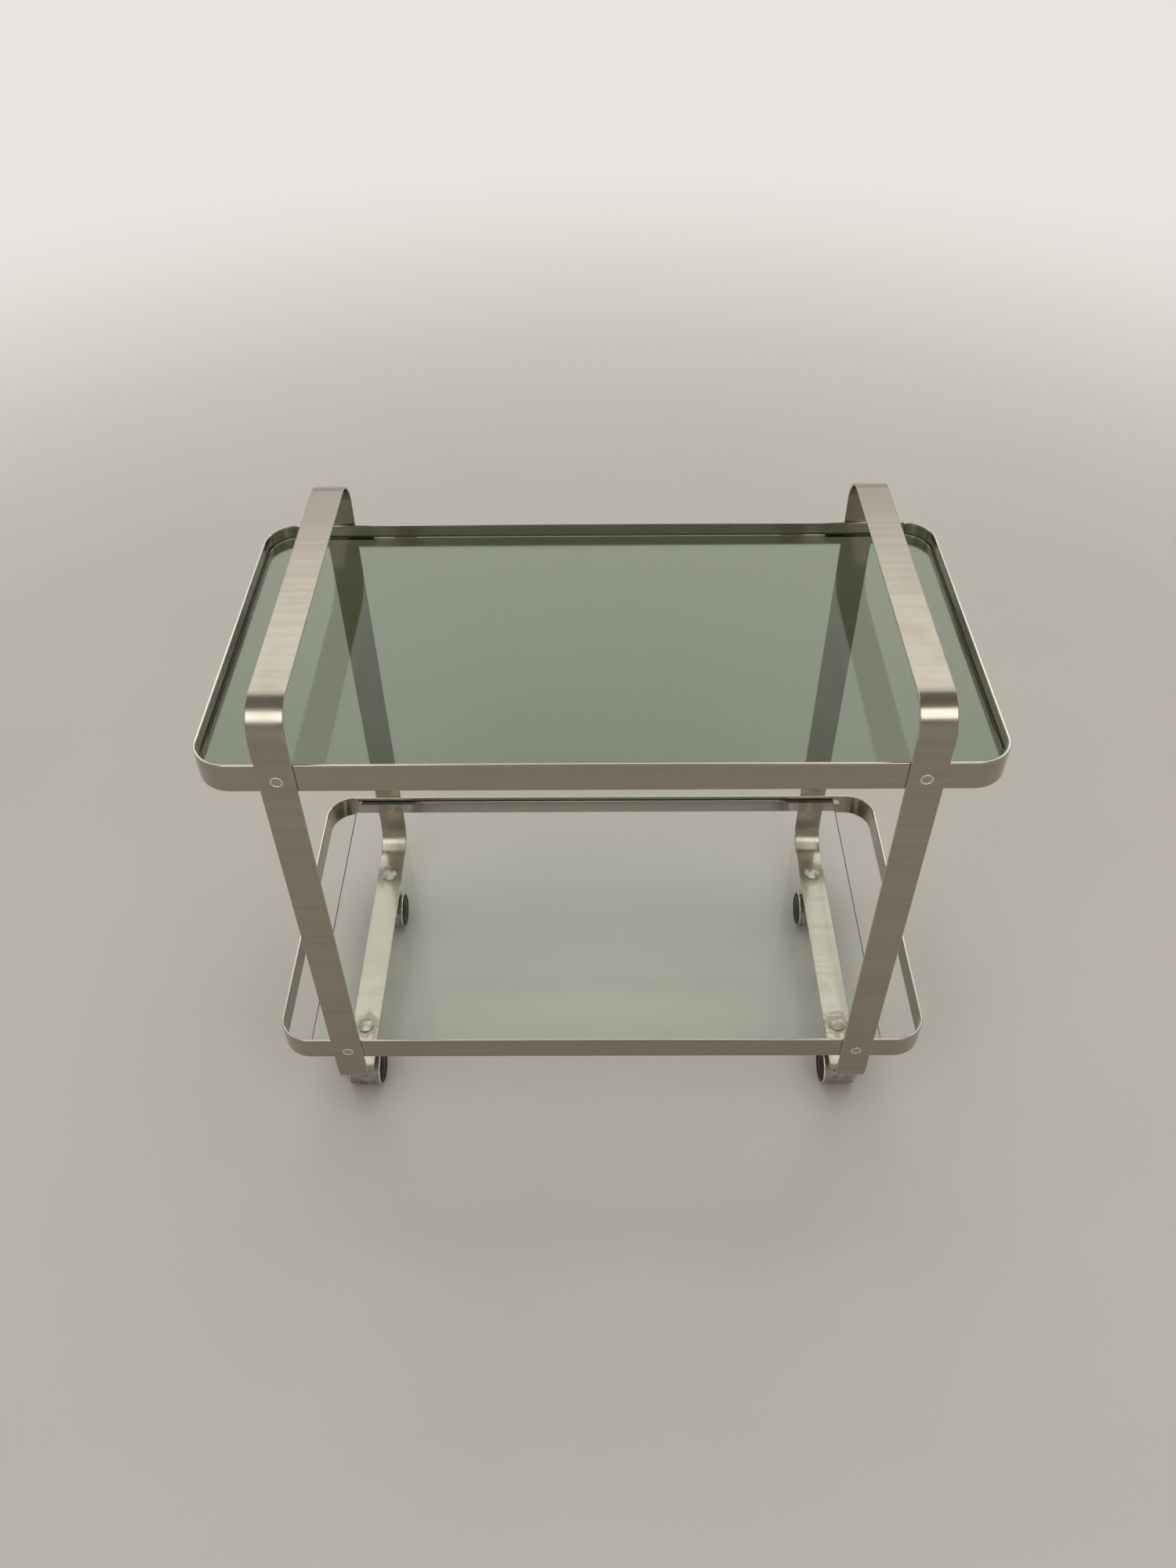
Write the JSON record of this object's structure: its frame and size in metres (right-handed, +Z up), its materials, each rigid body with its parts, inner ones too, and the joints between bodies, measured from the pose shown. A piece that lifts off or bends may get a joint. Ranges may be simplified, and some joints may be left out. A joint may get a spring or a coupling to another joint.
{
  "type": "bar cart",
  "caption": "Rolling bar cart with flat-bar hoop legs that rise into handles, a rimmed smoked glass top tray, a clear glass lower shelf and hooded twin-wheel castors.",
  "frame": {"origin": "on the floor under the middle of the cart", "axes": "+X to the right along the trays, +Y to the rear, +Z up"},
  "size_m": [0.764, 0.412, 0.663],
  "materials": {
    "brushed_stainless": "brushed across the hoops and along the rims",
    "smoked_glass": "smoked grey-green, polished",
    "clear_glass": "clear, polished",
    "rivet_steel": "ground flush",
    "stem_steel": "bright zinc plate",
    "castor_metal": "satin nickel plate",
    "black_wheel": "black nylon"
  },
  "bodies": {
    "frame": {"left_hoop": "brushed_stainless", "right_hoop": "brushed_stainless", "top_rim": "brushed_stainless", "lower_rim": "brushed_stainless", "top_glass": "smoked_glass", "lower_glass": "clear_glass", "top_glass_rests": "brushed_stainless", "lower_glass_rests": "brushed_stainless", "top_rim_rivets": "rivet_steel", "lower_rim_rivets": "rivet_steel", "front_left_stem": "stem_steel", "front_left_washer": "stem_steel", "front_left_clip": "stem_steel", "front_right_stem": "stem_steel", "front_right_washer": "stem_steel", "front_right_clip": "stem_steel", "rear_left_stem": "stem_steel", "rear_left_washer": "stem_steel", "rear_left_clip": "stem_steel", "rear_right_stem": "stem_steel", "rear_right_washer": "stem_steel", "rear_right_clip": "stem_steel"},
    "front_left_swivel": {"front_left_hood": "castor_metal", "front_left_axle": "stem_steel"},
    "front_left_inner_roller": {"front_left_inner_wheel": "black_wheel"},
    "front_left_outer_roller": {"front_left_outer_wheel": "black_wheel"},
    "front_right_swivel": {"front_right_hood": "castor_metal", "front_right_axle": "stem_steel"},
    "front_right_inner_roller": {"front_right_inner_wheel": "black_wheel"},
    "front_right_outer_roller": {"front_right_outer_wheel": "black_wheel"},
    "rear_left_swivel": {"rear_left_hood": "castor_metal", "rear_left_axle": "stem_steel"},
    "rear_left_inner_roller": {"rear_left_inner_wheel": "black_wheel"},
    "rear_left_outer_roller": {"rear_left_outer_wheel": "black_wheel"},
    "rear_right_swivel": {"rear_right_hood": "castor_metal", "rear_right_axle": "stem_steel"},
    "rear_right_inner_roller": {"rear_right_inner_wheel": "black_wheel"},
    "rear_right_outer_roller": {"rear_right_outer_wheel": "black_wheel"}
  },
  "joints": [
    {"name": "front_left_swivel_turn", "type": "hinge", "parent": "frame", "child": "front_left_swivel", "pos_m": [-0.3, -0.121, 0.04], "axis": [0, 0, 1], "continuous": true},
    {"name": "front_left_inner_spin", "type": "hinge", "parent": "front_left_swivel", "child": "front_left_inner_roller", "pos_m": [-0.3, -0.14959, 0.022], "axis": [1, 0, 0], "continuous": true},
    {"name": "front_left_outer_spin", "type": "hinge", "parent": "front_left_swivel", "child": "front_left_outer_roller", "pos_m": [-0.3, -0.14959, 0.022], "axis": [1, 0, 0], "continuous": true},
    {"name": "front_right_swivel_turn", "type": "hinge", "parent": "frame", "child": "front_right_swivel", "pos_m": [0.3, -0.121, 0.04], "axis": [0, 0, 1], "continuous": true},
    {"name": "front_right_inner_spin", "type": "hinge", "parent": "front_right_swivel", "child": "front_right_inner_roller", "pos_m": [0.3, -0.14959, 0.022], "axis": [1, 0, 0], "continuous": true},
    {"name": "front_right_outer_spin", "type": "hinge", "parent": "front_right_swivel", "child": "front_right_outer_roller", "pos_m": [0.3, -0.14959, 0.022], "axis": [1, 0, 0], "continuous": true},
    {"name": "rear_left_swivel_turn", "type": "hinge", "parent": "frame", "child": "rear_left_swivel", "pos_m": [-0.3, 0.133, 0.04], "axis": [0, 0, 1], "continuous": true},
    {"name": "rear_left_inner_spin", "type": "hinge", "parent": "rear_left_swivel", "child": "rear_left_inner_roller", "pos_m": [-0.3, 0.10441, 0.022], "axis": [1, 0, 0], "continuous": true},
    {"name": "rear_left_outer_spin", "type": "hinge", "parent": "rear_left_swivel", "child": "rear_left_outer_roller", "pos_m": [-0.3, 0.10441, 0.022], "axis": [1, 0, 0], "continuous": true},
    {"name": "rear_right_swivel_turn", "type": "hinge", "parent": "frame", "child": "rear_right_swivel", "pos_m": [0.3, 0.133, 0.04], "axis": [0, 0, 1], "continuous": true},
    {"name": "rear_right_inner_spin", "type": "hinge", "parent": "rear_right_swivel", "child": "rear_right_inner_roller", "pos_m": [0.3, 0.10441, 0.022], "axis": [1, 0, 0], "continuous": true},
    {"name": "rear_right_outer_spin", "type": "hinge", "parent": "rear_right_swivel", "child": "rear_right_outer_roller", "pos_m": [0.3, 0.10441, 0.022], "axis": [1, 0, 0], "continuous": true}
  ]
}
